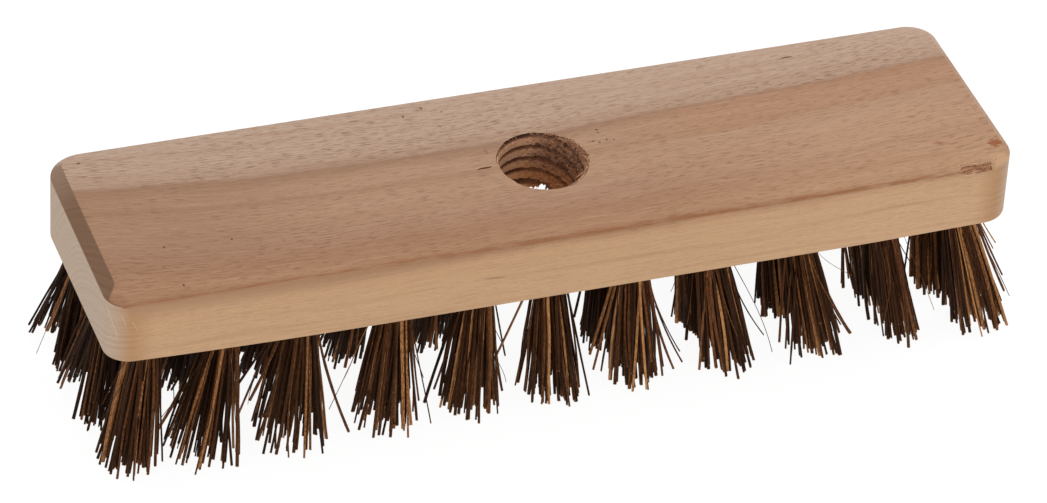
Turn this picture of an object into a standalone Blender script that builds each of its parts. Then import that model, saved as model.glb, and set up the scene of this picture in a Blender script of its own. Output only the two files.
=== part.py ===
"""Wooden deck scrubber head: a beech block with a slanted screw socket and three rows of fibre tufts.

Metres, +Z up. The origin is on the floor under the middle of the block: +X runs along the
block, the front long side faces -Y, and the tips of the tufts stand on Z = 0.
"""

import math

import bmesh
import bpy
from mathutils import Vector

MM = 0.001

# Block
LENGTH = 230 * MM
WIDTH = 62.6 * MM
THICKNESS = 19.5 * MM
UNDERSIDE_Z = 35 * MM
TOP_Z = UNDERSIDE_Z + THICKNESS
# Hand-shaped corners, anticlockwise from the back right one: each wall corner has its own radius
CORNER_RADII = (7.0 * MM, 9.8 * MM, 6.3 * MM, 8.1 * MM)
CORNER_STEPS = 8
# Bevels round the top face, which follow the corners
BEVEL_DROP = 2.5 * MM
SIDE_BEVEL_RUN = 6.6 * MM
LEFT_BEVEL_RUN = 3.1 * MM
RIGHT_BEVEL_RUN = 2.5 * MM
TOP_CORNER_RADIUS = 1.0 * MM

# Screw socket for the handle: a right-hand thread right through the block
SOCKET_X = 0.9 * MM
SOCKET_MOUTH_Y = -3.6 * MM
SOCKET_TILT = math.radians(16)
THREAD_PITCH = 4.35 * MM
THREAD_MINOR_RADIUS = 10.7 * MM
THREAD_MAJOR_RADIUS = 11.4 * MM
THREAD_STEPS = 36
# Share of the pitch and radius at the corners of one thread: crest, flank, root, flank
THREAD_PROFILE = (
    (0.0, THREAD_MINOR_RADIUS),
    (0.3, THREAD_MINOR_RADIUS),
    (0.55, THREAD_MAJOR_RADIUS),
    (0.75, THREAD_MAJOR_RADIUS),
)

# Tufts: columns along X, rows along Y, each tuft pressed into a blind hole
PITCH = 21 * MM
COLUMNS = 11
ROWS = ("front", "middle", "back")
# The front row is drilled unevenly: X of its holes, in millimetres
FRONT_HOLES = (-103.5, -84, -64.8, -41.4, -20.4, -2.4, 18.9, 39, 61.5, 84, 103.5)
HOLE_RADIUS = 4.0 * MM
HOLE_DEPTH = 13 * MM
HOLE_SIDES = 14
FIT_GAP = 0.3 * MM
TIP_RADIUS = 7.0 * MM
END_SPLAY = 5.5 * MM
ROW_SPLAY = 3.0 * MM
# The middle row leans back left of the socket and forward right of it
MIDDLE_LEAN_BACK = 4.5 * MM
MIDDLE_LEAN_FORWARD = 8.5 * MM
# Height up the free length, as a share, at each ring of a tuft below the block
TUFT_RINGS = (0.7, 0.35, 0.0)

OVERLAP = 5 * MM

BEECH = (0.56, 0.36, 0.22)
FIBRE = (0.055, 0.028, 0.015)


def clear_scene():
    for obj in list(bpy.data.objects):
        bpy.data.objects.remove(obj, do_unlink=True)


def material(name, colour, roughness):
    made = bpy.data.materials.new(name)
    made.use_nodes = True
    shader = made.node_tree.nodes["Principled BSDF"]
    shader.inputs["Base Color"].default_value = (*colour, 1)
    shader.inputs["Roughness"].default_value = roughness
    shader.inputs["Metallic"].default_value = 0
    return made


def add_object(name, mesh_data, surface=None):
    mesh = bpy.data.meshes.new(name)
    mesh_data.to_mesh(mesh)
    mesh_data.free()
    obj = bpy.data.objects.new(name, mesh)
    bpy.context.scene.collection.objects.link(obj)
    if surface:
        mesh.materials.append(surface)
    return obj


def make_cutter(obj):
    obj.hide_render = True
    obj.display_type = "WIRE"
    return obj


def cut(obj, cutter, operation):
    modifier = obj.modifiers.new(cutter.name, "BOOLEAN")
    modifier.operation = operation
    modifier.solver = "EXACT"
    modifier.object = cutter


def add_loft(data, rings):
    """A closed solid through rings of points that run counter-clockwise, lowest ring first."""
    verts = [[data.verts.new(point) for point in ring] for ring in rings]
    count = len(rings[0])
    for low, high in zip(verts, verts[1:]):
        for i in range(count):
            after = (i + 1) % count
            data.faces.new((low[i], low[after], high[after], high[i]))
    data.faces.new(reversed(verts[0]))
    data.faces.new(verts[-1])


def circle(centre, radius, sides):
    """Points of a level circle, counter-clockwise seen from above."""
    angles = [2 * math.pi * i / sides for i in range(sides)]
    return [Vector(centre) + Vector((math.cos(a), math.sin(a), 0)) * radius for a in angles]


def outline(z, share):
    """The block's outline at a height: that of its walls at share 0, of its top face at share 1."""
    points = []
    for quarter, (side_x, side_y) in enumerate([(1, 1), (-1, 1), (-1, -1), (1, -1)]):
        radius = CORNER_RADII[quarter] + (TOP_CORNER_RADIUS - CORNER_RADII[quarter]) * share
        end_run = RIGHT_BEVEL_RUN if side_x > 0 else LEFT_BEVEL_RUN
        centre_x = side_x * (LENGTH / 2 - end_run * share - radius)
        centre_y = side_y * (WIDTH / 2 - SIDE_BEVEL_RUN * share - radius)
        for step in range(CORNER_STEPS + 1):
            angle = math.pi / 2 * (quarter + step / CORNER_STEPS)
            x = centre_x + radius * math.cos(angle)
            y = centre_y + radius * math.sin(angle)
            points.append((x, y, z))
    return points


def thread_core():
    """A right-hand screw that fills the socket, lying along its slanted axis."""
    corners = len(THREAD_PROFILE)
    travel = THICKNESS / math.cos(SOCKET_TILT) + 4 * THREAD_PITCH
    turns = math.ceil(travel / THREAD_PITCH)
    start = -turns * THREAD_PITCH / 2
    data = bmesh.new()

    def corner(index, step):
        share, radius = THREAD_PROFILE[index % corners]
        turn = index // corners + share + step / THREAD_STEPS
        angle = 2 * math.pi * step / THREAD_STEPS
        return (radius * math.cos(angle), radius * math.sin(angle), start + turn * THREAD_PITCH)

    rows = turns * corners
    grid = [
        [data.verts.new(corner(row, step)) for step in range(THREAD_STEPS)]
        for row in range(rows + corners + 1)
    ]

    def at(row, step):
        return grid[row + corners][0] if step == THREAD_STEPS else grid[row][step]

    for row in range(rows):
        for step in range(THREAD_STEPS):
            data.faces.new((at(row, step), at(row, step + 1), at(row + 1, step + 1), at(row + 1, step)))
    for end_row, end_z in ((0, start - OVERLAP), (rows, start + (turns + 2) * THREAD_PITCH + OVERLAP)):
        rim = [at(end_row, step) for step in range(THREAD_STEPS + 1)]
        rim += [grid[end_row + back][0] for back in range(corners - 1, 0, -1)]
        tip = data.verts.new((0, 0, end_z))
        for i, vert in enumerate(rim):
            data.faces.new((vert, rim[(i + 1) % len(rim)], tip))
    loose = [vert for vert in data.verts if not vert.link_faces]
    bmesh.ops.delete(data, geom=loose, context="VERTS")
    bmesh.ops.recalc_face_normals(data, faces=data.faces)
    bmesh.ops.triangulate(data, faces=data.faces)

    core = make_cutter(add_object("thread_core", data))
    middle_y = SOCKET_MOUTH_Y + math.tan(SOCKET_TILT) * THICKNESS / 2
    core.location = (SOCKET_X, middle_y, UNDERSIDE_Z + THICKNESS / 2)
    core.rotation_euler.x = SOCKET_TILT
    return core


def tuft_places():
    """(name, column from -5 to 5, row from -1 to 1); the socket takes the middle place."""
    half = COLUMNS // 2
    for row, row_name in enumerate(ROWS):
        for column in range(-half, half + 1):
            if row_name == "middle" and column == 0:
                continue
            yield f"tuft_{row_name}_{column + half + 1:02d}", column, row - 1


def hole_centre(column, row):
    if row == -1:
        return FRONT_HOLES[column + COLUMNS // 2] * MM, row * PITCH
    return column * PITCH, row * PITCH


def hole_cutters():
    data = bmesh.new()
    for _, column, row in tuft_places():
        x, y = hole_centre(column, row)
        heights = (UNDERSIDE_Z - OVERLAP, UNDERSIDE_Z + HOLE_DEPTH)
        add_loft(data, [circle((x, y, z), HOLE_RADIUS, HOLE_SIDES) for z in heights])
    return make_cutter(add_object("tuft_holes", data))


def make_block(surface):
    data = bmesh.new()
    add_loft(data, [outline(UNDERSIDE_Z, 0), outline(TOP_Z - BEVEL_DROP, 0), outline(TOP_Z, 1)])
    block = add_object("block", data, surface)
    cut(block, thread_core(), "DIFFERENCE")
    cut(block, hole_cutters(), "DIFFERENCE")
    return block


def tip_offset(column, row):
    """How far a tuft's tip stands from under its hole: outward at the ends and the long sides."""
    half = COLUMNS // 2
    lean_x = END_SPLAY * column / half
    lean_y = ROW_SPLAY * row
    if row == 0:
        lean_y = MIDDLE_LEAN_BACK if column < 0 else -MIDDLE_LEAN_FORWARD
    return lean_x, lean_y


def make_tuft(name, column, row, surface):
    """A bundle from just under the end of its hole to a flat tip on the floor."""
    root_radius = HOLE_RADIUS - FIT_GAP
    x, y = hole_centre(column, row)
    lean_x, lean_y = tip_offset(column, row)
    rings = [
        circle((x, y, UNDERSIDE_Z + HOLE_DEPTH - FIT_GAP), root_radius, HOLE_SIDES),
        circle((x, y, UNDERSIDE_Z), root_radius, HOLE_SIDES),
    ]
    for height in TUFT_RINGS:
        out = 1 - height
        radius = root_radius + (TIP_RADIUS - root_radius) * out
        centre = (x + lean_x * out, y + lean_y * out, UNDERSIDE_Z * height)
        rings.append(circle(centre, radius, HOLE_SIDES))
    data = bmesh.new()
    add_loft(data, rings[::-1])
    tuft = add_object(name, data, surface)
    tuft.data.shade_smooth()
    tuft.data.set_sharp_from_angle(angle=math.radians(40))
    return tuft


def main():
    clear_scene()
    beech = material("beech", BEECH, 0.55)
    fibre = material("fibre", FIBRE, 0.5)
    make_block(beech)
    for name, column, row in tuft_places():
        make_tuft(name, column, row, fibre)


main()
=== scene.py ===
"""Looks of the deck scrubber head: the beech block with its screw socket, and its fibre tufts.

Lengths are in millimetres until add_mesh turns them into the frame's metres. +X runs along the
block, the front long side faces -Y, and the tips of the tufts stand on Z = 0. Angles round the
socket are counted from +X towards +Y.
"""

import math
import random

import bpy
import numpy as np
from mathutils import Matrix, Vector, noise


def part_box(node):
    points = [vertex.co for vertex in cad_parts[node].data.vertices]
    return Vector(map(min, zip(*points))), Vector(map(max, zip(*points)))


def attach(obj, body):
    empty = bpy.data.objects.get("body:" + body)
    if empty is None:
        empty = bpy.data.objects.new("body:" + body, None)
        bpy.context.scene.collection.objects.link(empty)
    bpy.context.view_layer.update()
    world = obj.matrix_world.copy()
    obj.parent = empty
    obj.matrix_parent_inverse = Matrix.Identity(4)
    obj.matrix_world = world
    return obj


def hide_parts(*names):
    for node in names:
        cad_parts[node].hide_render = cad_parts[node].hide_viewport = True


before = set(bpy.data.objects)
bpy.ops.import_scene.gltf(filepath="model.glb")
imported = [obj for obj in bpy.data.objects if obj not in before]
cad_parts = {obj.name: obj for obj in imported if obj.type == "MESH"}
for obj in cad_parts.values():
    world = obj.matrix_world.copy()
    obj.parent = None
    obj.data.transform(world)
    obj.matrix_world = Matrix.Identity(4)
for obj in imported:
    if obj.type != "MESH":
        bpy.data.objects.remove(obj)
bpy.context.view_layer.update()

MM = 0.001

# Block, as the CAD has it
block_low, block_high = (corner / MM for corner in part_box("block"))
LENGTH, WIDTH, THICKNESS = block_high - block_low
UNDERSIDE_Z = block_low.z
TOP_Z = block_high.z
# Radii of the wall's corners, anticlockwise from the back right one
CORNER_RADII = (7.0, 9.8, 6.3, 8.1)
CORNER_STEPS = 20
BEVEL_DROP = 2.5
SIDE_BEVEL_RUN = 6.6
LEFT_BEVEL_RUN = 3.1
RIGHT_BEVEL_RUN = 2.5
TOP_CORNER_RADIUS = 1.0
EASED_EDGE = 0.35
FRONT_Y = -WIDTH / 2
WALL_TOP_Z = TOP_Z - BEVEL_DROP
# The underside's front edge hangs low by the drop. Past each X it bends up again, by the given rise where
# it is the given reach away, and it stays level outside the ends.
FRONT_PARTS = 24
FRONT_BOW_DROP = 0.3
FRONT_BOWS = ((-45.0, 64.0, 1.2), (60.0, 50.0, 0.8))
FRONT_BOW_ENDS = (-109.0, 103.0)

# Screw socket
SOCKET_X = 0.9
SOCKET_MOUTH_Y = -3.6
SOCKET_TILT = math.radians(16)
SOCKET_MIDDLE = Vector(
    (SOCKET_X, SOCKET_MOUTH_Y + math.tan(SOCKET_TILT) * THICKNESS / 2, TOP_Z - THICKNESS / 2)
)
THREAD_PITCH = 4.35
THREAD_MINOR_RADIUS = 10.7
THREAD_MAJOR_RADIUS = 11.4
THREAD_TURN = math.radians(184)
MOUTH_RADIUS = 11.2
MOUTH_DEPTH = 0.55
TORN_SIDE = math.radians(35)
EXIT_TEAR_SIDE = math.radians(58)
EXIT_TEAR_HALF_ANGLE = math.radians(11)
EXIT_TEAR_RADIUS = 12.4
EXIT_TEAR_HEIGHT = 1.1
EXIT_NARROWING = 0.8
SLIVERS = 300

# Damage in the wood: a chip out of the front top edge, and a slit beside the socket
CHIP_X = (98.6, 107.6)
CHIP_BACK_Y = -29.7
CHIP_FRONT_Y = -31.9
CHIP_DEPTHS = (0.5, 1.15)
SLIT_FROM = (-15.5, -3.1)
SLIT_TO = (-11.8, -2.6)

# Tufts
PITCH = 21
HALF_COLUMNS = 5
ROWS = ("front", "middle", "back")
HOLE_RADIUS = 4.0
HOLE_SIDES = 24
HOLE_DEPTH = 13.0
FOLDED_FIBRES = 46
ROOT_SPREAD = 3.5
FIBRE_RADII = (0.24, 0.50)
FIBRE_SIDES = 6
HAIRS = 3
HAIR_RADII = (0.07, 0.13)
FREE_STEPS = 9
# Shares of the fibres that are broken short, that leave the bundle, and that end in a hook
SHORT_SHARE = 0.12
LEAVING_SHARE = 0.05
HOOKED_SHARE = 0.12
# Front tufts from the left end: X of the hole, X of the tips beside the hole, and spread of the tips
FRONT_TUFTS = (
    (-103.5, -5.5, 7.0),
    (-84.0, -6.5, 9.0),
    (-64.8, -3.3, 9.8),
    (-41.4, -2.6, 8.2),
    (-20.4, -2.5, 7.2),
    (-2.4, 2.0, 7.2),
    (18.9, 1.5, 6.6),
    (39.0, 6.5, 7.0),
    (61.5, 7.5, 6.2),
    (84.0, 7.0, 5.2),
    (103.5, 9.0, 7.8),
)
# X of the tips of the middle row's tufts beside their hole; the socket takes the place in the middle
MIDDLE_LEANS = (-6, -6.9, -5.8, -4.7, -3.6, 0, -3.5, 1.0, 1.8, 6.2, 1.2)
# X of the tips of the back row's tufts beside their hole: at the left end, and per column elsewhere
BACK_END_LEAN = -6.0
BACK_LEAN_STEP = 1.1
# Y of the tips beside the hole, and how far a tuft's two halves part in Y; then the spread of the tips
FRONT_STANCE = (-2.5, 0.8)
BACK_STANCE = (3.0, 1.5, 6.4)
BACK_END_STANCE = (3.0, 5.5, 6.4)
MIDDLE_LEFT_STANCE = (5.0, 1.0, 6.0)
MIDDLE_RIGHT_STANCE = (-8.5, 0.5, 5.2)
MIDDLE_END_STANCE = (1.0, 7.0, 6.4)
# Added to the tone of a tuft's fibres: per millimetre towards +X, and in the rows behind the front one as
# painted shade
TONE_PER_MM = 0.0008
BEHIND_PAINTED_SHADE = -0.16
# Fibres that leave their tuft: X and Y of the tip beside the hole, share of the free length, radius, and
# tone from dark to golden
STRAYS = {
    "tuft_front_03": (
        (-17, -4, 0.48, 0.42, 0.1),
        (-14, -5, 0.60, 0.40, 0.5),
        (11, -6, 1.0, 0.42, 0.5),
    ),
    "tuft_front_04": ((-17, -4, 0.82, 0.09, 0.3),),
    "tuft_front_05": (
        (-11, -3, 0.82, 0.35, 0.35),
        (8, 0, 0.70, 0.30, 0.3),
        (7, -2, 0.96, 0.35, 0.4),
    ),
    "tuft_front_06": (
        (-15, -3, 0.73, 0.28, 0.65),
        (-7, -2, 0.91, 0.42, 0.2),
    ),
    "tuft_front_07": (
        (-10, -2, 0.77, 0.35, 0.7),
        (-10, -5, 0.84, 0.35, 0.6),
        (15, 1, 0.95, 0.20, 0.1),
        (15, -1, 1.0, 0.32, 0.35),
        (12, -3, 1.0, 0.42, 0.6),
    ),
    "tuft_front_08": (
        (17, 1, 0.93, 0.22, 0.1),
        (-2, -5, 1.0, 0.40, 0.6),
    ),
    "tuft_front_09": (
        (-2, -9, 1.0, 0.35, 0.1),
        (-1, -3, 0.99, 0.35, 0.4),
        (-2, -1, 0.97, 0.35, 0.4),
        (17, -1, 1.0, 0.45, 0.4),
        (16, 3, 1.0, 0.25, 0.1),
    ),
    "tuft_front_11": (
        (16, -1, 0.85, 0.35, 0.4),
        (16, 1, 0.75, 0.25, 0.4),
        (12, -1, 0.40, 0.22, 0.8),
        (12, 0, 0.47, 0.22, 0.7),
    ),
    "tuft_middle_07": (
        (-9, -3, 0.88, 0.40, 0.1),
        (-8, -5, 0.91, 0.25, 0.5),
    ),
}

# Staple over which the fibres of a tuft are folded, at the end of its hole
STAPLE_HALF_WIDTH = 2.9
STAPLE_WIRE_RADIUS = 0.45
STAPLE_BEND = 0.9
STAPLE_BEND_STEPS = 5
STAPLE_SIDES = 8
STAPLE_CROWN_Z = UNDERSIDE_Z + HOLE_DEPTH - 4.2
STAPLE_TIP_Z = UNDERSIDE_Z + HOLE_DEPTH + 2.2

# Camera: its direction and distance from VIEW_CENTRE, its roll, and how far its aim lies from there
VIEW_AZIMUTH = math.radians(-20.75)
VIEW_ELEVATION = math.radians(36.18)
VIEW_ROLL = math.radians(3.45)
VIEW_DISTANCE = 1407.8
VIEW_LENS = 198.0
VIEW_CENTRE = Vector((0, 0, UNDERSIDE_Z))
VIEW_SHIFT_RIGHT = -1.70
VIEW_SHIFT_UP = -8.26


# ---------- Meshes ----------


def add_mesh(name, verts, faces):
    """A new object from points in millimetres."""
    mesh = bpy.data.meshes.new(name)
    mesh.from_pydata([tuple(point) for point in np.asarray(verts) * MM], [], faces)
    mesh.update()
    obj = bpy.data.objects.new(name, mesh)
    bpy.context.scene.collection.objects.link(obj)
    return obj


def loft(rings):
    """(points, faces) of a closed solid through rings of equally many points."""
    count = len(rings[0])
    points = [point for ring in rings for point in ring]
    faces = []
    for low in range(0, (len(rings) - 1) * count, count):
        for i in range(count):
            after = (i + 1) % count
            faces.append((low + i, low + after, low + count + after, low + count + i))
    faces.append(tuple(reversed(range(count))))
    faces.append(tuple(range(len(points) - count, len(points))))
    return points, faces


def join(solids):
    """(points, faces) of several (points, faces) together."""
    points, faces = [], []
    for more_points, more_faces in solids:
        faces += [tuple(i + len(points) for i in face) for face in more_faces]
        points += more_points
    return points, faces


def ring_round(centre, side, other, radius, sides):
    """Points round a centre, in the plane of two directions."""
    angles = [2 * math.pi * i / sides for i in range(sides)]
    return [centre + (side * math.cos(a) + other * math.sin(a)) * radius for a in angles]


def apply_modifiers(obj):
    """Bakes the modifiers into the mesh and removes the helpers they used."""
    helpers = {m.object for m in obj.modifiers if m.type == "BOOLEAN"}
    graph = bpy.context.evaluated_depsgraph_get()
    made = bpy.data.meshes.new_from_object(obj.evaluated_get(graph))
    obj.modifiers.clear()
    obj.data = made
    made.name = obj.name
    for helper in helpers:
        bpy.data.objects.remove(helper)


def cut(obj, cutter):
    """Adds a Boolean that takes the cutter's shape away."""
    modifier = obj.modifiers.new(cutter.name, "BOOLEAN")
    modifier.operation = "DIFFERENCE"
    modifier.solver = "EXACT"
    modifier.object = cutter
    cutter.hide_render = True


def circle(x, y, z, radius, sides):
    """Points of a level circle."""
    angles = [2 * math.pi * i / sides for i in range(sides)]
    return [(x + radius * math.cos(a), y + radius * math.sin(a), z) for a in angles]


# ---------- Block ----------


def outline(z, share):
    """The block's outline at a height: that of its walls at share 0, of its top face at share 1."""
    corners = []
    for quarter, (side_x, side_y) in enumerate([(1, 1), (-1, 1), (-1, -1), (1, -1)]):
        radius = CORNER_RADII[quarter] + (TOP_CORNER_RADIUS - CORNER_RADII[quarter]) * share
        end_run = RIGHT_BEVEL_RUN if side_x > 0 else LEFT_BEVEL_RUN
        centre_x = side_x * (LENGTH / 2 - end_run * share - radius)
        centre_y = side_y * (WIDTH / 2 - SIDE_BEVEL_RUN * share - radius)
        corner = []
        for step in range(CORNER_STEPS + 1):
            angle = math.pi / 2 * (quarter + step / CORNER_STEPS)
            corner.append((centre_x + radius * math.cos(angle), centre_y + radius * math.sin(angle), z))
        corners.append(corner)
    start, stop = Vector(corners[2][-1]), Vector(corners[3][0])
    front = [tuple(start.lerp(stop, i / FRONT_PARTS)) for i in range(1, FRONT_PARTS)]
    return corners[0] + corners[1] + corners[2] + front + corners[3]


def eased(before, edge, after):
    """(share, z) points of an edge rounded between two points beside it."""
    points = []
    for t in (0.0, 0.25, 0.5, 0.75, 1.0):
        points.append(before.lerp(edge, t).lerp(edge.lerp(after, t), t))
    return points


def block_profile():
    """(share, z) of the outlines from the underside to the top face, with every edge eased."""
    part = EASED_EDGE / BEVEL_DROP / 2
    rise = Vector((0, EASED_EDGE))
    inset = Vector((EASED_EDGE / SIDE_BEVEL_RUN, 0))
    lower = Vector((0, UNDERSIDE_Z))
    middle = Vector((0, WALL_TOP_Z))
    upper = Vector((1, TOP_Z))
    points = eased(lower + inset, lower, lower + rise)
    points += eased(middle - rise, middle, middle.lerp(upper, part))
    return points + eased(middle.lerp(upper, 1 - part), upper, upper + inset)


def smooth(value, low, high):
    """0 below low and 1 above high, eased between."""
    share = min(max((value - low) / (high - low), 0.0), 1.0)
    return share * share * (3 - 2 * share)


def thread_depth(share):
    """From 0 on the thread's flat crest to 1 at its root, over one pitch."""
    return min(smooth(share, 0.52, 0.66), smooth(share, 0.94, 0.86))


def socket_ends(angle):
    """How far along the slanted axis the wall at this angle meets the underside and the top."""
    rise = math.sin(angle) * math.sin(SOCKET_TILT) * THREAD_MAJOR_RADIUS
    return [(side * THICKNESS / 2 - rise) / math.cos(SOCKET_TILT) for side in (-1, 1)]


def socket_radius(angle, along):
    """Radius of the cut thread at a point of the socket, with torn end grain on its right side."""
    share = (along / THREAD_PITCH - (angle + THREAD_TURN) / (2 * math.pi)) % 1.0
    radius = THREAD_MINOR_RADIUS + (THREAD_MAJOR_RADIUS - THREAD_MINOR_RADIUS) * thread_depth(share)
    around = Vector((math.cos(angle) * 10, math.sin(angle) * 10, along))
    torn = smooth(math.cos(angle - TORN_SIDE), 0.3, 0.95)
    radius += 0.9 * max(0.0, noise.noise(around * 0.9 + Vector((7, 3, 1)))) * torn
    radius += 0.08 * noise.fractal(around * 1.3, 0.7, 2.1, 4) * (1 + 4 * torn)
    bottom, top = socket_ends(angle)
    radius -= EXIT_NARROWING * smooth(bottom + 3.5 - along, 0.0, 3.0)
    rim = MOUTH_RADIUS + 0.1 * noise.noise(around * 0.5)
    rim += 0.9 * torn * max(0.0, noise.fractal(around * 2.6, 0.8, 2.1, 3))
    mouth = 1 - smooth(top - along, MOUTH_DEPTH - 0.2, MOUTH_DEPTH)
    radius += max(rim - radius, 0.0) * mouth
    apart = abs(angle - EXIT_TEAR_SIDE) / EXIT_TEAR_HALF_ANGLE
    height = EXIT_TEAR_HEIGHT * (1 - apart * apart) + 0.9 * noise.fractal(around * 1.8, 0.8, 2.1, 3)
    leaving = 1 - smooth(along - bottom, height - 0.4, height) if height > 0 else 0.0
    return radius + max(EXIT_TEAR_RADIUS - radius, 0.0) * leaving


def in_socket(angle, along, radius):
    """A point of the slanted socket, given round and along its axis."""
    slant = Matrix.Rotation(SOCKET_TILT, 3, "X")
    point = Vector((radius * math.cos(angle), radius * math.sin(angle), along))
    return slant @ point + SOCKET_MIDDLE


def socket_cutter():
    around_steps = 230
    along_steps = 180
    reach = 16.0
    angles = [2 * math.pi * j / around_steps for j in range(around_steps)]
    rings = []
    for i in range(along_steps + 1):
        along = -reach + 2 * reach * i / along_steps
        rings.append([in_socket(angle, along, socket_radius(angle, along)) for angle in angles])
    return add_mesh("socket_cutter", *loft(rings))


def bevel_height(y):
    """Height of the side bevel at y."""
    return TOP_Z - (abs(y) - (WIDTH / 2 - SIDE_BEVEL_RUN)) / SIDE_BEVEL_RUN * BEVEL_DROP


def chip_cutter():
    """A torn chip along the top front edge, pointed at its left and square at its right."""
    columns, rows = 40, 9
    floor, roof = [], []
    for j in range(rows + 1):
        for i in range(columns + 1):
            share = i / columns
            x = CHIP_X[0] + (CHIP_X[1] - CHIP_X[0]) * share
            back = CHIP_BACK_Y - 1.4 * (1 - min(1.0, 5 * share)) + 0.3 * noise.noise(Vector((x, 0, 2)))
            y = CHIP_FRONT_Y + (back - CHIP_FRONT_Y) * j / rows
            depth = CHIP_DEPTHS[1] + (CHIP_DEPTHS[0] - CHIP_DEPTHS[1]) * j / rows
            depth *= min(1.0, 3 * share + 0.15) * (1 + 0.5 * noise.noise(Vector((x * 0.6, y * 3, 4))))
            floor.append((x, y, bevel_height(y) - depth))
            roof.append((x, y, bevel_height(y) + 2.0))
    return add_mesh("chip_cutter", *slab(floor, roof, columns, rows))


def slab(floor, roof, columns, rows):
    """(points, faces) of the closed solid between two grids of (columns + 1) by (rows + 1) points."""
    wide = columns + 1
    offset = len(floor)
    faces = []
    for j in range(rows):
        for i in range(columns):
            a = j * wide + i
            faces.append((a, a + wide, a + wide + 1, a + 1))
            faces.append((a + offset, a + 1 + offset, a + wide + 1 + offset, a + wide + offset))
    border = [(i, i + 1) for i in range(columns)]
    border += [(columns + j * wide, columns + (j + 1) * wide) for j in range(rows)]
    border += [(rows * wide + i + 1, rows * wide + i) for i in range(columns)]
    border += [((j + 1) * wide, j * wide) for j in range(rows)]
    faces += [(a, b, b + offset, a + offset) for a, b in border]
    return floor + roof, faces


def slit_cutter():
    """A narrow crack that is widest in its middle."""
    steps = 12
    rings = []
    for i in range(steps + 1):
        share = i / steps
        x = SLIT_FROM[0] + (SLIT_TO[0] - SLIT_FROM[0]) * share
        y = SLIT_FROM[1] + (SLIT_TO[1] - SLIT_FROM[1]) * share + 0.12 * math.sin(6 * share)
        half = 0.07 + 0.26 * math.sin(math.pi * (0.1 + 0.8 * share))
        deep = 0.2 + 0.9 * math.sin(math.pi * share)
        rings.append([(x, y - half, TOP_Z + 0.5), (x, y - half, TOP_Z - 0.1), (x, y, TOP_Z - deep)])
        rings[-1] += [(x, y + half, TOP_Z - 0.1), (x, y + half, TOP_Z + 0.5)]
    return add_mesh("slit_cutter", *loft(rings))


def hole_cutters():
    heights = UNDERSIDE_Z - 5, UNDERSIDE_Z + HOLE_DEPTH
    centres = [hole_centre(column, row) for _, column, row in tuft_places()]
    holes = [loft([circle(*centre, z, HOLE_RADIUS, HOLE_SIDES) for z in heights]) for centre in centres]
    return add_mesh("hole_cutters", *join(holes))


# The square picture laid out for the block's colours, in millimetres: its side, how far the
# socket's middle lies above the corner of its cell, and the lower left corner of each cell
BAKE_SIDE = 240.0
BAKE_SOCKET_RISE = 12
BAKE_CELLS = {
    "top": (2, 2),
    "underside": (2, 67),
    "front": (2, 132),
    "back": (2, 154),
    "left": (2, 176),
    "right": (68, 176),
    "socket": (136, 176),
    "hole": (2, 204),
}
# Distance from the slanted axis within which a face is one of the socket's
SOCKET_REACH = 13.8


def bake_cell(centre, normal):
    """Which part of the block a face belongs to."""
    from_axis = Matrix.Rotation(-SOCKET_TILT, 3, "X") @ (centre - SOCKET_MIDDLE)
    at_surface = centre.z > TOP_Z - 0.02 or centre.z < UNDERSIDE_Z + 0.02
    if abs(normal.z) > 0.97 and at_surface:
        return "top" if normal.z > 0 else "underside"
    if math.hypot(from_axis.x, from_axis.y) < SOCKET_REACH:
        return "socket"
    within_walls = abs(centre.x) < LENGTH / 2 - 3 and abs(centre.y) < WIDTH / 2 - 3
    if abs(normal.z) < 0.5 and within_walls:
        return "hole"
    if abs(normal.z) > 0.3:
        return "top" if normal.z > 0 else "underside"
    if abs(normal.y) > abs(normal.x):
        return "front" if normal.y < 0 else "back"
    return "left" if normal.x < 0 else "right"


def nearest_hole(centre):
    """X and Y of the tuft hole that lies nearest to a point."""
    places = [hole_centre(column, row) for _, column, row in tuft_places()]
    return min(places, key=lambda place: math.hypot(place[0] - centre.x, place[1] - centre.y))


def round_wall(point, centre, radius):
    """A point of a round wall rolled out flat, with the whole face on one side of the seam."""
    angle = math.atan2(centre.y, centre.x)
    turned = Matrix.Rotation(-angle, 3, "Z") @ point
    return (angle + math.pi + math.atan2(turned.y, turned.x)) * radius, point.z


def bake_places(mesh):
    """Places in the bake picture of the block's loops: each face lies in the cell of its part."""
    places = []
    slant_back = Matrix.Rotation(-SOCKET_TILT, 3, "X")
    for polygon in mesh.polygons:
        centre = polygon.center / MM
        cell = bake_cell(centre, polygon.normal)
        if cell == "hole":
            hole = Vector((*nearest_hole(centre), UNDERSIDE_Z))
        for index in polygon.vertices:
            point = mesh.vertices[index].co / MM
            if cell == "socket":
                on_axis = slant_back @ (point - SOCKET_MIDDLE)
                face_centre = slant_back @ (centre - SOCKET_MIDDLE)
                u, v = round_wall(on_axis, face_centre, THREAD_MAJOR_RADIUS)
                v += BAKE_SOCKET_RISE
            elif cell == "hole":
                u, v = round_wall(point - hole, centre - hole, HOLE_RADIUS)
            elif cell in ("top", "underside"):
                u, v = point.x + LENGTH / 2, point.y + WIDTH / 2
            elif cell in ("front", "back"):
                u, v = point.x + LENGTH / 2, point.z - UNDERSIDE_Z
            else:
                u, v = point.y + WIDTH / 2, point.z - UNDERSIDE_Z
            left, low = BAKE_CELLS[cell]
            places.append(((left + u) / BAKE_SIDE, (low + v) / BAKE_SIDE))
    return places


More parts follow.
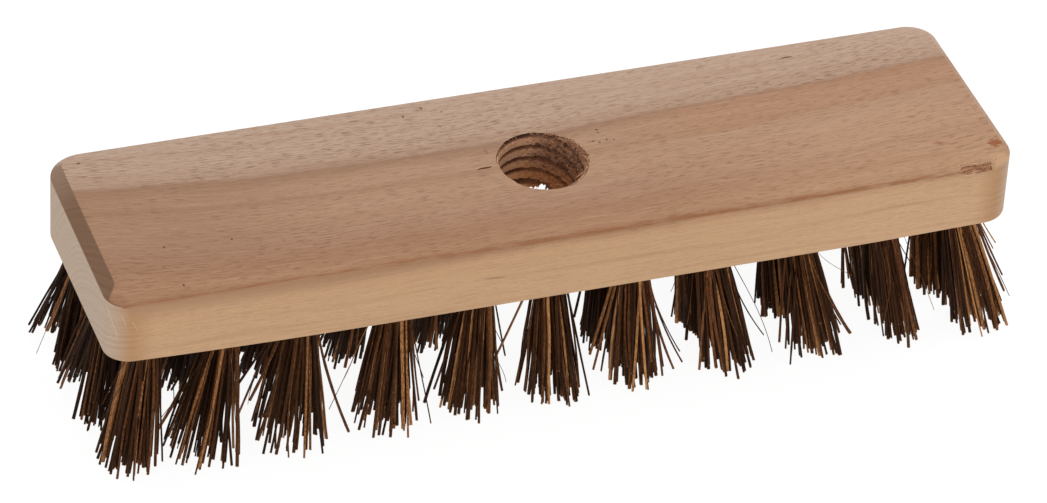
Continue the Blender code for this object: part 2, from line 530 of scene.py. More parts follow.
def bow_underside(mesh):
    """Bends the underside's front edge: a little low in the middle, and up towards the corners."""
    for vertex in mesh.vertices:
        x, y, z = vertex.co / MM
        if z > UNDERSIDE_Z + 2 * EASED_EDGE or y > 0:
            continue
        x = min(max(x, FRONT_BOW_ENDS[0]), FRONT_BOW_ENDS[1])
        rise = -FRONT_BOW_DROP
        for start, reach, most in FRONT_BOWS:
            rise += most * max(0.0, (x - start) / math.copysign(reach, start)) ** 2
        vertex.co.z += rise * -y / (WIDTH / 2) * MM


def make_block():
    block = add_mesh("beech_block", *loft([outline(z, share) for share, z in block_profile()]))
    for cutter in (socket_cutter(), hole_cutters(), chip_cutter(), slit_cutter()):
        cut(block, cutter)
    apply_modifiers(block)
    add_bake_layer(block, bake_places(block.data))
    bow_underside(block.data)
    block.data.shade_smooth()
    block.data.set_sharp_from_angle(angle=math.radians(32))
    weighted = block.modifiers.new("weighted_normals", "WEIGHTED_NORMAL")
    weighted.keep_sharp = True
    block.data.materials.clear()
    block.data.materials.append(beech_material())
    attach(block, "root")
    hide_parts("block")


# ---------- Torn wood ----------

# Points of the pale strip inside the socket's right rim: X, Y, and Z above the top
RIM_STRIP = (
    (11.3, -4.4, 0),
    (11.5, -6.6, -0.2),
    (10.3, -9.0, -0.3),
    (8.2, -10.5, -0.5),
    (6.4, -11.6, -0.8),
)
# Points of the curls round the chip: X, Y, and Z above the bevel
CHIP_CURLS = (
    ((98.6, -30.0, 0), (99.4, -29.4, 0.1), (101.0, -29.2, 0.2), (103.0, -29.5, 0.1), (104.6, -29.4, 0)),
    ((99.2, -29.6, 0), (100.6, -28.9, 0.1), (102.4, -29.1, 0.1)),
    ((103.2, -29.6, 0), (104.3, -29.9, 0.3), (104.9, -30.6, 0.3), (105.3, -31.3, 0)),
    ((106.9, -31.0, 0), (107.2, -29.8, 0.3), (107.0, -28.7, 0.3)),
    ((107.6, -31.2, 0), (107.9, -30.0, 0.3), (108.6, -29.2, 0.4), (109.9, -29.1, 0.3)),
    ((107.3, -30.6, 0), (108.6, -30.3, 0.3), (109.3, -29.6, 0.3), (109.2, -28.6, 0)),
    ((99.6, -31.5, -0.5), (101.2, -31.6, -0.8), (102.8, -31.5, -0.8)),
)
RIM_STRIP_RADIUS = 0.2
CHIP_CURL_RADIUS = 0.13
SHAVING_SIDES = 5


def shaving(points, radius):
    """Rings of a thin flat strip of wood along the points, which thins towards its far end."""
    last = len(points) - 1
    rings = []
    for i, centre in enumerate(points):
        tangent = (points[min(i + 1, last)] - points[max(i - 1, 0)]).normalized()
        side = tangent.orthogonal().normalized()
        other = tangent.cross(side) * 0.5
        rings.append(ring_round(centre, side, other, radius * (1 - 0.75 * i / last), SHAVING_SIDES))
    return rings


def sliver(start, direction, length, curl, rng):
    """Points of a splinter that starts in the wood and bends away."""
    turn = Matrix.Rotation(rng.uniform(0, 2 * math.pi), 3, direction)
    bend = turn @ direction.orthogonal() * curl
    shares = [i / 6 for i in range(7)]
    return [start + direction * length * (t - 0.12) + bend * t * t for t in shares]


def socket_slivers(rng):
    """Splinters on the torn side of the socket's wall, at its torn exit, and round its mouth."""
    made = []
    for i in range(SLIVERS):
        at_mouth = i % 2 == 0
        angle = TORN_SIDE + rng.gauss(-0.2, 0.5)
        if i % 12 == 0:
            angle = rng.uniform(0, 2 * math.pi)
        bottom, top = socket_ends(angle)
        along = top - rng.uniform(0.0, 0.5) if at_mouth else rng.uniform(bottom + 0.5, top)
        start = in_socket(angle, along, socket_radius(angle, along) + 0.05)
        inward = (in_socket(angle, along, 0) - start).normalized()
        grain = Vector((rng.choice((-1, 1)), 0, 0))
        direction = inward * rng.uniform(0.1, 0.8) + grain * rng.uniform(0.1, 1.0)
        direction += Vector((0, rng.uniform(-0.6, 0.6), rng.uniform(-0.5, 0.5)))
        length = rng.uniform(0.4, 1.4) if at_mouth else rng.uniform(0.6, 2.0)
        line = sliver(start, direction.normalized(), length, rng.uniform(0, 0.7), rng)
        radius = rng.uniform(0.04, 0.1)
        made.append(shaving(line, radius * 1.7 if at_mouth and i % 12 else radius))
    return made


def long_shavings():
    """The pale strip inside the socket's right rim, and the curls round the chip."""
    strip = [Vector((x, y, TOP_Z + z)) for x, y, z in RIM_STRIP]
    made = [shaving(curve(strip), RIM_STRIP_RADIUS)]
    for curl in CHIP_CURLS:
        points = [Vector((x, y, bevel_height(y) + z)) for x, y, z in curl]
        made.append(shaving(curve(points), CHIP_CURL_RADIUS))
    return made


def curve(points):
    """The points with a smooth curve's points between them."""
    made = []
    for i in range(len(points) - 1):
        before = points[i - 1] if i else points[0] * 2 - points[1]
        after = points[i + 2] if i + 2 < len(points) else points[-1] * 2 - points[-2]
        start, stop = points[i], points[i + 1]
        for t in (0.0, 0.25, 0.5, 0.75):
            straight = start.lerp(stop, t)
            sag = (before + after - start - stop) * 0.25 * t * (1 - t) * 2
            made.append(straight - sag)
    return made + [points[-1]]


def make_slivers():
    shavings = socket_slivers(random.Random("slivers")) + long_shavings()
    slivers = add_mesh("torn_slivers", *join([loft(rings) for rings in shavings]))
    slivers.data.shade_smooth()
    slivers.data.materials.append(sliver_material())
    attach(slivers, "root")


# ---------- Tufts ----------


def tuft_places():
    """(name, column from -5 to 5, row from -1 to 1); the socket takes the middle place."""
    for row, row_name in enumerate(ROWS, start=-1):
        for column in range(-HALF_COLUMNS, HALF_COLUMNS + 1):
            if (column, row) != (0, 0):
                yield f"tuft_{row_name}_{column + HALF_COLUMNS + 1:02d}", column, row


def hole_centre(column, row):
    """X and Y of a tuft's hole; only the front row is drilled unevenly."""
    if row == -1:
        return FRONT_TUFTS[column + HALF_COLUMNS][0], row * PITCH
    return column * PITCH, row * PITCH


def tuft_lean(column, row):
    """Where the tips stand beside the hole, how far a tuft's halves part in Y, and the tips' spread."""
    at_end = column == -HALF_COLUMNS
    if row == -1:
        _, lean_x, spread = FRONT_TUFTS[column + HALF_COLUMNS]
        lean_y, split = FRONT_STANCE
    elif row == 1:
        lean_x = BACK_END_LEAN if at_end else BACK_LEAN_STEP * column
        lean_y, split, spread = BACK_END_STANCE if at_end else BACK_STANCE
    elif column > 0:
        lean_x = MIDDLE_LEANS[column + HALF_COLUMNS]
        lean_y, split, spread = MIDDLE_RIGHT_STANCE
    else:
        lean_x = MIDDLE_LEANS[column + HALF_COLUMNS]
        lean_y, split, spread = MIDDLE_END_STANCE if at_end else MIDDLE_LEFT_STANCE
    return Vector((lean_x, lean_y)), split, spread


def disc_places(count, rng):
    """Points spread evenly over a unit disc, as a sunflower's seeds are."""
    golden = math.pi * (3 - math.sqrt(5))
    turn = rng.uniform(0, 2 * math.pi)
    places = []
    for i in range(count):
        radius = math.sqrt((i + 0.5) / count)
        angle = turn + i * golden
        places.append(Vector((radius * math.cos(angle), radius * math.sin(angle))))
    return places


def random_direction(rng):
    """A level direction of length 1."""
    angle = rng.uniform(0, 2 * math.pi)
    return Vector((math.cos(angle), math.sin(angle)))


def free_end(place, lean, spread, rng):
    """Points of one fibre's free end, from the hole's mouth to its tip, for a hole at the origin."""
    tip = place * spread + lean + Vector((rng.gauss(0, 0.9), rng.gauss(0, 0.9)))
    length_share = 1 - abs(rng.gauss(0, 0.03))
    if rng.random() < SHORT_SHARE:
        length_share -= rng.uniform(0.05, 0.3)
    if rng.random() < LEAVING_SHARE:
        tip += random_direction(rng) * rng.uniform(2, 6)
    root = place * ROOT_SPREAD
    bow = random_direction(rng) * abs(rng.gauss(0, 0.6))
    wiggle = random_direction(rng) * rng.uniform(0.02, 0.14)
    phase = rng.uniform(0, 6)
    hook = random_direction(rng) * (rng.uniform(0.3, 1.2) if rng.random() < HOOKED_SHARE else 0.0)
    points = []
    for i in range(FREE_STEPS + 1):
        t = i / FREE_STEPS * length_share
        offset = root + (tip - root) * t + bow * math.sin(math.pi * t)
        offset += wiggle * math.sin(phase + 9 * t) * min(1.0, 4 * t) + hook * t ** 6
        points.append(Vector((*offset, UNDERSIDE_Z * (1 - t))))
    return points


def hair(place, lean, rng):
    """Centreline of a thin curling fibre that stands away from its tuft."""
    reach = random_direction(rng) * rng.uniform(4, 11) + lean
    curl = random_direction(rng) * rng.uniform(1, 4)
    turns = rng.uniform(0.6, 1.6)
    length_share = rng.uniform(0.5, 0.95)
    points = []
    for i in range(2 * FREE_STEPS + 1):
        t = i / (2 * FREE_STEPS)
        offset = place * ROOT_SPREAD + reach * t + curl * math.sin(math.pi * turns * t) * t
        points.append(Vector((*offset, UNDERSIDE_Z * (1.05 - 1.05 * t * length_share))))
    return points


def folded_fibre(place_a, place_b, leans, spread, rng):
    """Centreline of one fibre from tip to tip, bent over the staple at the end of the hole."""
    first = free_end(place_a, leans[0], spread, rng)
    second = free_end(place_b, leans[1], spread, rng)
    crown = UNDERSIDE_Z + HOLE_DEPTH - 1.2 - 1.2 * rng.random()
    root_a, root_b = place_a * ROOT_SPREAD * 0.9, place_b * ROOT_SPREAD * 0.9
    half_way = UNDERSIDE_Z + HOLE_DEPTH * 0.45
    over = [
        Vector((*root_a, half_way)),
        Vector((*root_a, crown - 1.8)),
        Vector((*(root_a * 0.8 + root_b * 0.2), crown - 0.3)),
        Vector((*((root_a + root_b) / 2), crown)),
        Vector((*(root_a * 0.2 + root_b * 0.8), crown - 0.3)),
        Vector((*root_b, crown - 1.8)),
        Vector((*root_b, half_way)),
    ]
    return first[::-1] + over + second


def stray(tip_x, tip_y, length_share, rng):
    """Centreline of a fibre that leaves the tuft and stands well beside it."""
    tip = Vector((tip_x, tip_y))
    root = tip.normalized() * ROOT_SPREAD * 0.8
    bow = Vector((-tip.y, tip.x)).normalized() * rng.uniform(-0.5, 0.5)
    late = 0.6 if length_share > 0.9 else 0.1
    points = []
    for i in range(2 * FREE_STEPS + 1):
        t = i / (2 * FREE_STEPS)
        offset = root + (tip - root) * ((1 - late) * t + late * t * t) + bow * math.sin(math.pi * t)
        height = UNDERSIDE_Z * (1.08 - (0.08 + length_share) * t) + 0.1
        points.append(Vector((*offset, height)))
    return points


def with_cut_ends(centreline):
    """The centreline with one more point just before each tip, so that the cut shows only there."""
    start = centreline[0].lerp(centreline[1], 0.07)
    stop = centreline[-1].lerp(centreline[-2], 0.07)
    return [centreline[0], start, *centreline[1:-1], stop, centreline[-1]]


def sweep(centreline, radius, flatness, rng):
    """Rings round a centreline, with a slightly ridged cross-section that twists along it."""
    turn = rng.uniform(0, 2 * math.pi)
    twist = rng.uniform(-0.2, 0.2)
    ridges = [rng.uniform(0.78, 1.15) for _ in range(FIBRE_SIDES)]
    side = Vector((math.cos(turn), math.sin(turn), 0))
    rings = []
    for i, centre in enumerate(centreline):
        before = centreline[max(i - 1, 0)]
        after = centreline[min(i + 1, len(centreline) - 1)]
        tangent = (after - before).normalized()
        side = (side - tangent * side.dot(tangent)).normalized()
        other = tangent.cross(side)
        thickness = radius * rng.uniform(0.93, 1.07)
        ring = []
        for k in range(FIBRE_SIDES):
            angle = 2 * math.pi * k / FIBRE_SIDES + twist * i
            out = side * math.cos(angle) + other * math.sin(angle) * flatness
            ring.append(centre + out * thickness * ridges[k])
        rings.append(ring)
    return rings


def fibre_tone(rng):
    """Mostly dark brown, often mid brown, now and then golden."""
    kind = rng.random()
    if kind < 0.48:
        return rng.uniform(-0.05, 0.22)
    return rng.uniform(0.25, 0.6) if kind < 0.87 else rng.uniform(0.65, 0.95)


def strip_places(left, width, rings):
    """Places in the bake picture of one fibre's loops: an upright strip, in the order of loft's faces."""
    across = [left + width * (0.05 + 0.9 * k / FIBRE_SIDES) for k in range(FIBRE_SIDES + 1)]
    up = [0.005 + 0.99 * r / (rings - 1) for r in range(rings)]
    places = []
    for low, high in zip(up, up[1:]):
        for k in range(FIBRE_SIDES):
            places += [(across[k], low), (across[k + 1], low), (across[k + 1], high), (across[k], high)]
    places += [(across[k], up[0]) for k in reversed(range(FIBRE_SIDES))]
    return places + [(across[k], up[-1]) for k in range(FIBRE_SIDES)]


def add_bake_layer(obj, places):
    """A UV layer, one place per loop, for baking the colours."""
    layer = obj.data.uv_layers.new(name="OFBake")
    layer.data.foreach_set("uv", [number for place in places for number in place])


def fibre_lines(name, column, row, rng):
    """(centreline, radius, flatness, tone) of every fibre of a tuft, for a hole at the origin."""
    lean, split, spread = tuft_lean(column, row)
    leans = lean - Vector((0, split)), lean + Vector((0, split))
    places = disc_places(2 * FOLDED_FIBRES, rng)
    places.sort(key=lambda place: place.y)
    near, far = places[:FOLDED_FIBRES], places[FOLDED_FIBRES:]
    near.sort(key=lambda place: place.x)
    far.sort(key=lambda place: place.x)
    lines = []
    for place_a, place_b in zip(near, far):
        line = folded_fibre(place_a, place_b, leans, spread, rng)
        lines.append((line, rng.uniform(*FIBRE_RADII), rng.uniform(0.55, 1.0), fibre_tone(rng)))
    for place in rng.sample(places, HAIRS):
        lines.append((hair(place, lean, rng), rng.uniform(*HAIR_RADII), 1.0, fibre_tone(rng)))
    for tip_x, tip_y, share, radius, tone in STRAYS.get(name, ()):
        lines.append((stray(tip_x, tip_y, share, rng), radius, 0.8, tone))
    return lines


def make_tuft(name, column, row, surface):
    rng = random.Random(name)
    lines = fibre_lines(name, column, row, rng)
    origin = Vector((*hole_centre(column, row), 0))
    # Painted shade: the fibres of the rows behind the front one are darkened.
    shade = TONE_PER_MM * column * PITCH + (0.0 if row == -1 else BEHIND_PAINTED_SHADE)
    fibres, tones, ends, places = [], [], [], []
    for i, (line, radius, flatness, tone) in enumerate(lines):
        rings = sweep(with_cut_ends(line), radius, flatness, rng)
        points, faces = loft(rings)
        fibres.append(([point + origin for point in points], faces))
        tones += [tone + shade] * len(points)
        ends += [1.0] * FIBRE_SIDES + [0.0] * (len(rings) - 2) * FIBRE_SIDES + [1.0] * FIBRE_SIDES
        places += strip_places(i / len(lines), 1 / len(lines), len(rings))
    tuft = add_mesh("fibres_" + name, *join(fibres))
    add_attribute(tuft, "tone", tones)
    add_attribute(tuft, "cut_end", ends)
    add_bake_layer(tuft, places)
    tuft.data.shade_smooth()
    tuft.data.set_sharp_from_angle(angle=math.radians(60))
    tuft.data.materials.append(surface)
    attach(tuft, "root")
    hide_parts(name)


def staple_path():
    """(X beside the hole's middle, Z) of the points of a staple, from tip to tip."""
    bend_x, bend_z = STAPLE_BEND - STAPLE_HALF_WIDTH, STAPLE_CROWN_Z + STAPLE_BEND
    leg = [(-STAPLE_HALF_WIDTH, STAPLE_TIP_Z)]
    for step in range(STAPLE_BEND_STEPS + 1):
        angle = math.pi / 2 * step / STAPLE_BEND_STEPS
        leg.append((bend_x - STAPLE_BEND * math.cos(angle), bend_z - STAPLE_BEND * math.sin(angle)))
    return leg + [(-across, z) for across, z in reversed(leg)]


def make_staple(name, column, row, surface):
    """The wire loop at the end of a hole, its legs pressed into the wood."""
    x, y = hole_centre(column, row)
    path = staple_path()
    last = len(path) - 1
    side = Vector((0, 1, 0))
    rings = []
    for i, (across, z) in enumerate(path):
        before, after = path[max(i - 1, 0)], path[min(i + 1, last)]
        tangent = Vector((after[0] - before[0], 0, after[1] - before[1])).normalized()
        thin = STAPLE_WIRE_RADIUS * (0.4 if i in (0, last) else 1.0)
        centre = Vector((x + across, y, z))
        rings.append(ring_round(centre, side, tangent.cross(side), thin, STAPLE_SIDES))
    staple = add_mesh(name.replace("tuft", "staple"), *loft(rings))
    staple.data.shade_smooth()
    staple.data.materials.append(surface)
    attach(staple, "root")


def add_attribute(obj, name, values):
    """A number for each point of the mesh, which the material reads."""
    attribute = obj.data.attributes.new(name, "FLOAT", "POINT")
    attribute.data.foreach_set("value", values)


# ---------- Materials ----------


def srgb(red, green, blue):
    """The linear colour that shows as these 0 to 255 values."""
    channels = (value / 255 for value in (red, green, blue))
    return (*(c / 12.92 if c < 0.04045 else ((c + 0.055) / 1.055) ** 2.4 for c in channels), 1)


class Value:
    """An output of a surface's nodes. Arithmetic on it adds nodes and gives another Value."""

    def __init__(self, surface, socket):
        self.surface = surface
        self.socket = socket

    def __add__(self, other):
        return self.surface.math("ADD", self, other)

    def __sub__(self, other):
        return self.surface.math("SUBTRACT", self, other)

    def __mul__(self, other):
        return self.surface.math("MULTIPLY", self, other)

    def __truediv__(self, other):
        return self.surface.math("DIVIDE", self, other)

    def __pow__(self, power):
        return self.surface.math("POWER", self, power)

    def __abs__(self):
        return self.surface.math("ABSOLUTE", self)

    def step(self, low, high, to_low=0.0, to_high=1.0):
        """A smooth change from to_low to to_high as this value goes from low to high."""
        numbers = (self, low, high, to_low, to_high)
        node = self.surface.node("MapRange", *numbers, interpolation_type="SMOOTHSTEP")
        return Value(self.surface, node.outputs[0])

    def within(self, low, high, soft=0.1):
        """1 where this value lies between the two, 0 outside."""
        return self.step(low, low + soft) * self.step(high, high - soft)


class Surface:
    """Short calls that build one material's nodes: numbers or Values go in and a Value comes out."""

    def __init__(self, name):
        self.material = bpy.data.materials.new(name)
        self.material.use_nodes = True
        self.nodes = self.material.node_tree.nodes
        self.links = self.material.node_tree.links
        self.shader = self.nodes["Principled BSDF"]

    def feed(self, socket, value):
        if isinstance(value, Value):
            self.links.new(value.socket, socket)
        else:
            socket.default_value = value

    def feed_all(self, node, values):
        """Feeds a node's inputs by name."""
        for name, value in values.items():
            self.feed(node.inputs[name], value)

    def node(self, kind, *values, **settings):
        """A new node with these settings, and with the values fed to its first inputs."""
        node = self.nodes.new("ShaderNode" + kind)
        for name, setting in settings.items():
            setattr(node, name, setting)
        for socket, value in zip(node.inputs, values):
            self.feed(socket, value)
        return node

    def math(self, operation, *values):
        return Value(self, self.node("Math", *values, operation=operation).outputs[0])

    def vector(self, x, y, z):
        return Value(self, self.node("CombineXYZ", x, y, z).outputs[0])

    def noise(self, vector, scale=1.0, detail=2.0, roughness=0.5):
        node = self.node("TexNoise")
        values = {"Vector": vector, "Scale": scale, "Detail": detail, "Roughness": roughness}
        self.feed_all(node, values)
        return Value(self, node.outputs["Fac"])

    def ramp(self, value, stops):
        """A colour ramp over (value, colour) stops."""
        low, high = stops[0][0], stops[-1][0]
        node = self.node("ValToRGB", (value - low) / (high - low))
        elements = node.color_ramp.elements
        while len(elements) < len(stops):
            elements.new(0.5)
        for element, (at, colour) in zip(elements, stops):
            element.position = (at - low) / (high - low)
            element.color = colour
        return Value(self, node.outputs["Color"])

    def mix(self, factor, a, b):
        """Colour a where the factor is 0, colour b where it is 1."""
        node = self.node("Mix", data_type="RGBA", clamp_factor=True)
        self.feed(node.inputs["Factor"], factor)
        colours = [socket for socket in node.inputs if socket.type == "RGBA"]
        self.feed(colours[0], a)
        self.feed(colours[1], b)
        return Value(self, next(socket for socket in node.outputs if socket.type == "RGBA"))

    def layered(self, colour, layers):
        """The colour under (amount, colour) layers, the lowest first."""
        for amount, tint in layers:
            colour = self.mix(amount, colour, tint)
        return colour

    def attribute(self, name):
        return Value(self, self.node("Attribute", attribute_name=name).outputs["Fac"])

    def scaled(self, vector, factors):
        return Value(self, self.node("VectorMath", vector, factors, operation="MULTIPLY").outputs[0])

    def split(self, vector):
        return [Value(self, socket) for socket in self.node("SeparateXYZ", vector).outputs]

    def place(self):
        """The shaded point in millimetres, as a vector and as x, y and z."""
        metres = Value(self, self.node("TexCoord").outputs["Object"])
        place = self.scaled(metres, (1 / MM, 1 / MM, 1 / MM))
        return place, *self.split(place)

    def normal(self):
        """x, y and z of the surface's own direction."""
        return self.split(Value(self, self.node("NewGeometry").outputs["True Normal"]))

    def bump(self, height, strength, distance):
        """Relief of the given strength; the distance is in millimetres."""
        node = self.node("Bump")
        self.feed_all(node, {"Height": height, "Strength": strength, "Distance": distance * MM})
        self.feed(self.shader.inputs["Normal"], Value(self, node.outputs[0]))


def ellipse(x, y, centre, size):
    """0 at an ellipse's centre, 1 on its border and more outside."""
    return ((x - centre[0]) / size[0]) ** 2 + ((y - centre[1]) / size[1]) ** 2


# Beech: where the growth rings are centred, seen along X, how they bow along X as factors of X / 100 and
# its powers, and the distances from the pith of the rings that show as bands on top
PITH_Y = -45.0
RING_BOW = (2.2, 3.35, -1.95)
DARK_RING = 75.3
SOFT_RING = 68.6
FRONT_RING = 53.2
# (X, Y, half length along X, half length along Y) of the small dark specks on the top face
SPECKS = (
    (17.8, 5.3, 0.5, 0.3),
    (17.8, 4.1, 0.3, 0.3),
    (15.4, 0.9, 0.4, 0.25),
    (16.8, 0.2, 0.4, 0.3),
    (18.9, 0.8, 0.35, 0.3),
    (20.6, 0.3, 0.3, 0.25),
    (-107.7, 24.0, 0.55, 0.3),
    (-20.8, 25.3, 0.35, 1.0),
    (-26.3, 22.6, 0.3, 0.5),
    (-16.5, 22.2, 0.25, 0.3),
    (-97.0, -13.8, 0.3, 0.45),
    (-80.7, -14.8, 0.25, 0.4),
    (-96.2, -27.8, 0.3, 0.35),
    (74.0, 22.6, 1.8, 0.3),
)
# (X, Y, half length along X, half length along Y, strength) of reddish stains on the top
STAINS = (
    (110.9, -24.7, 2.0, 1.4, 0.95),
    (97.0, -21.4, 1.3, 0.7, 0.55),
    (99.5, -22.3, 0.8, 0.4, 0.4),
    (-11.2, 3.6, 0.5, 1.4, 0.5),
)
# (X at its lower end, Z there, X at its upper end, Z there) of pale scratches on the front left corner
SCRATCHES = (
    (-112.7, 42.6, -114.8, 50.8),
    (-110.9, 46.1, -112.0, 49.9),
    (-108.3, 45.1, -109.7, 48.0),
)
# Lens-shaped fleck on the front face: X and Z of its centre, its half lengths, and its slope
FLECK_CENTRE = (-20.2, 43.2)
FLECK_SIZE = (3.3, 0.4)
FLECK_SLOPE = -0.1


def ring_distance(s, x, y, z):
    """Distance from the pith, which is constant along a growth ring that bows and waves along X."""
    ring = s.math("SQRT", (y - PITH_Y) ** 2 + z ** 2)
    bow = 0.0
    for factor in reversed(RING_BOW):
        bow = x / 100 * (bow + factor)
    wave = s.noise(s.vector(x * 0.022, ring * 0.05, 0.0))
    return ring - bow * y.step(-34.0, 4.0, 0.15, 1.0) + (wave - 0.5) * 2.6


def ring_colour(s, ring, x):
    """Pale wood behind the dark ring, warm wood in front of it, and yellow sapwood at the front."""
    stops = (
        (36.0, srgb(192, 155, 118)),
        (FRONT_RING - 2.4, srgb(190, 151, 113)),
        (FRONT_RING - 1.2, srgb(180, 140, 104)),
        (FRONT_RING, srgb(156, 114, 83)),
        (FRONT_RING + 1.8, srgb(166, 124, 92)),
        (FRONT_RING + 5.0, srgb(160, 118, 89)),
        (FRONT_RING + 7.0, srgb(167, 128, 101)),
        (SOFT_RING - 4.5, srgb(174, 136, 108)),
        (SOFT_RING - 1.5, srgb(172, 135, 107)),
        (SOFT_RING, srgb(163, 125, 97)),
        (SOFT_RING + 0.9, srgb(174, 137, 110)),
        (DARK_RING - 3.4, srgb(172, 135, 107)),
        (DARK_RING - 0.3, srgb(150, 114, 88)),
        (DARK_RING + 0.7, srgb(173, 142, 119)),
        (DARK_RING + 5.0, srgb(183, 154, 132)),
        (96.0, srgb(187, 158, 136)),
    )
    warm = ring.step(SOFT_RING - 2.6, SOFT_RING + 0.4) * ring.step(DARK_RING + 0.3, DARK_RING - 0.7)
    dull = ring.step(FRONT_RING + 3.0, FRONT_RING + 7.0) * ring.step(DARK_RING + 1.2, DARK_RING - 1.3)
    light = ring.step(FRONT_RING + 16.0, FRONT_RING + 4.0)
    layers = (
        (warm * x.step(15.0, 50.0, 0.0, 0.6), srgb(172, 127, 94)),
        (dull * x.step(-40.0, -90.0, 0.0, 0.5), srgb(152, 113, 86)),
        (light * x.step(15.0, 85.0, 0.0, 0.27), srgb(206, 168, 132)),
    )
    return s.layered(s.ramp(ring, stops), layers)


def growth_lines(s, ring, x):
    """Layers of fine soft stripes that follow the rings."""
    broad = s.noise(s.vector(x * 0.010, ring * 0.55, 0.0), detail=3.0)
    streaks = s.noise(s.vector(x * 0.09, ring * 5.0, 9.0), detail=2.0, roughness=0.6)
    fine = s.noise(s.vector(x * 0.03, ring * 2.6, 5.0), detail=3.0)
    dark = srgb(140, 98, 74)
    pale = srgb(205, 172, 146)
    return (
        (broad.step(0.50, 0.72, 0.0, 0.24), srgb(150, 108, 80)),
        (broad.step(0.42, 0.25, 0.0, 0.20), srgb(196, 164, 138)),
        (streaks.step(0.52, 0.72, 0.0, 0.30), dark),
        (streaks.step(0.46, 0.28, 0.0, 0.22), pale),
        (fine.step(0.50, 0.75, 0.0, 0.24), dark),
        (fine.step(0.45, 0.20, 0.0, 0.18), pale),
    )


def ray_flecks(s, place, ring, x):
    """1 on short dashes along the grain, which are strongest behind the dark ring."""
    dashes = s.noise(s.vector(x * 0.3, ring * 5.2, 2.0), detail=1.5, roughness=0.45)
    patches = s.noise(s.scaled(place, (0.03, 0.10, 0.10)), detail=2.0)
    amount = dashes.step(0.56, 0.62) * patches.step(0.30, 0.60, 0.5, 1.0)
    behind = ring.step(DARK_RING - 0.5, DARK_RING + 1.0, 0.6, 1.0)
    sapwood = ring.step(FRONT_RING - 3.0, FRONT_RING, 0.4, 1.0)
    return amount * behind * sapwood


def top_specks(s, x, y, z):
    """1 on the few small dark specks of the top face."""
    found = 0.0
    for at_x, at_y, long, wide in SPECKS:
        speck = ellipse(x, y, (at_x, at_y), (long, wide)).step(1.2, 0.4)
        found = s.math("MAXIMUM", found, speck)
    return found * z.step(TOP_Z - 4.0, TOP_Z - 3.5)


def end_grain_and_bevel_shade(s, ring, place, x, y):
    """Layers of warmer wood round the corners, greyer end faces with arcs, and darker end-grain bevels,
    the left one also in painted shade.
    """
    normal_x, _, normal_z = (abs(axis) for axis in s.normal())
    arcs = s.noise(s.vector(ring * 1.3, 0.0, 0.0), detail=4.0).step(0.30, 0.70)
    pores = s.noise(s.scaled(place, (0.5, 5.0, 5.0)), detail=2.0).step(0.5, 0.7, 0.0, 0.35)
    corner = s.mix(arcs, srgb(165, 122, 84), srgb(178, 136, 97))
    face = s.mix(arcs, srgb(176, 152, 129), srgb(188, 166, 145))
    face = s.mix(pores, face, srgb(140, 112, 92))
    bevel = s.mix(arcs, srgb(114, 83, 60), srgb(131, 98, 72))
    bevel = s.mix(y.step(5.0, 26.0, 0.0, 0.75), bevel, srgb(156, 128, 108))
    upright = normal_z.step(0.45, 0.15)
    on_corner = upright * abs(x).step(LENGTH / 2 - 12, LENGTH / 2 - 4)
    on_face = upright * abs(x).step(LENGTH / 2 - 6, LENGTH / 2 - 0.1)
    # Darker end grain, and painted shade: the left bevel takes it fully, the right one, on the lit side,
    # only a little.
    on_bevel = normal_x.step(0.44, 0.54) * normal_z.step(0.15, 0.45) * x.step(-60.0, 60.0, 1.0, 0.15)
    return (on_corner, corner), (on_face, face), (on_bevel, bevel)


def socket_groove_shade(s, from_x, from_y, along, torn_way):
    """Layer of painted shade in the grooves between the thread's crests, weaker at the left and on the
    torn side.
    """
    turns = (s.math("ARCTAN2", from_y, from_x) + THREAD_TURN) / (2 * math.pi)
    share = s.math("FRACT", along / THREAD_PITCH - turns)
    groove_shade = share.step(0.50, 0.60) * share.step(0.97, 0.92)
    groove_shade *= from_x.step(-11.0, -7.0, 0.45, 0.95) * torn_way.step(5.0, 10.0, 1.0, 0.6)
    return groove_shade, s.mix(share.step(0.53, 0.70), srgb(124, 70, 38), srgb(50, 22, 11))


